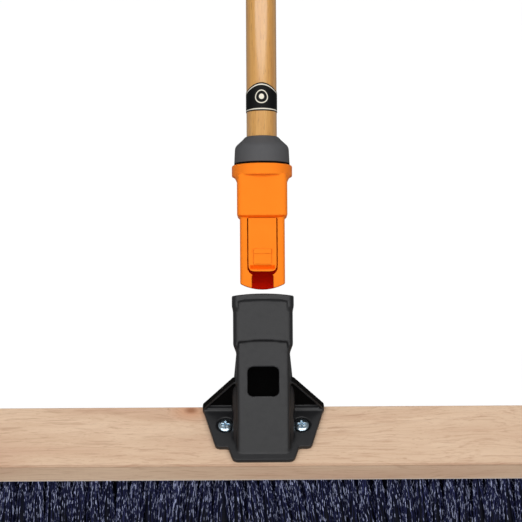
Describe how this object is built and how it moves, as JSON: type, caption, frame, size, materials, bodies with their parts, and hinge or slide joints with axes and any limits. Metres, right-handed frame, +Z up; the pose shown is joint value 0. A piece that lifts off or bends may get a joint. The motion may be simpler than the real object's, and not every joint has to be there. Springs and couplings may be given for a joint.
{
  "type": "push broom",
  "caption": "Push broom with a wooden block, dark bristle rows, moulded socket bracket, plug-in connector with spring latch, and a wooden handle.",
  "frame": {"origin": "middle of the bristle tips, on the floor", "axes": "+Z up; +X along the wooden block; +Y towards the user, the way the handle leans"},
  "size_m": [0.631, 1.3132, 1.2441],
  "materials": {
    "block_wood": "satin",
    "bristles": "satin",
    "black_plastic": "satin",
    "zinc_screw": "bright zinc",
    "orange_plastic": "satin",
    "ferrule_plastic": "satin",
    "handle_wood": "lacquered",
    "label_film": "satin"
  },
  "bodies": {
    "head": {"broom_block": "block_wood", "bristle_row_1": "bristles", "bristle_row_2": "bristles", "bristle_row_3": "bristles", "bristle_row_4": "bristles", "bristle_row_5": "bristles", "socket_bracket": "black_plastic", "bracket_screw_left": "zinc_screw", "bracket_screw_right": "zinc_screw"},
    "handle": {"connector_body": "orange_plastic", "handle_ferrule": "ferrule_plastic", "handle_shaft": "handle_wood", "handle_label": "label_film"},
    "latch": {"latch_tongue": "orange_plastic"}
  },
  "joints": [
    {"name": "handle_slide", "type": "slide", "parent": "head", "child": "handle", "axis": [0, 0.7431, 0.6691], "range_m": [-0.097, 0]},
    {"name": "latch_press", "type": "hinge", "parent": "handle", "child": "latch", "pos_m": [0, 0.12402, 0.22712], "axis": [1, 0, 0], "range_deg": [0, 7], "stiffness_Nm_per_rad": 2}
  ]
}
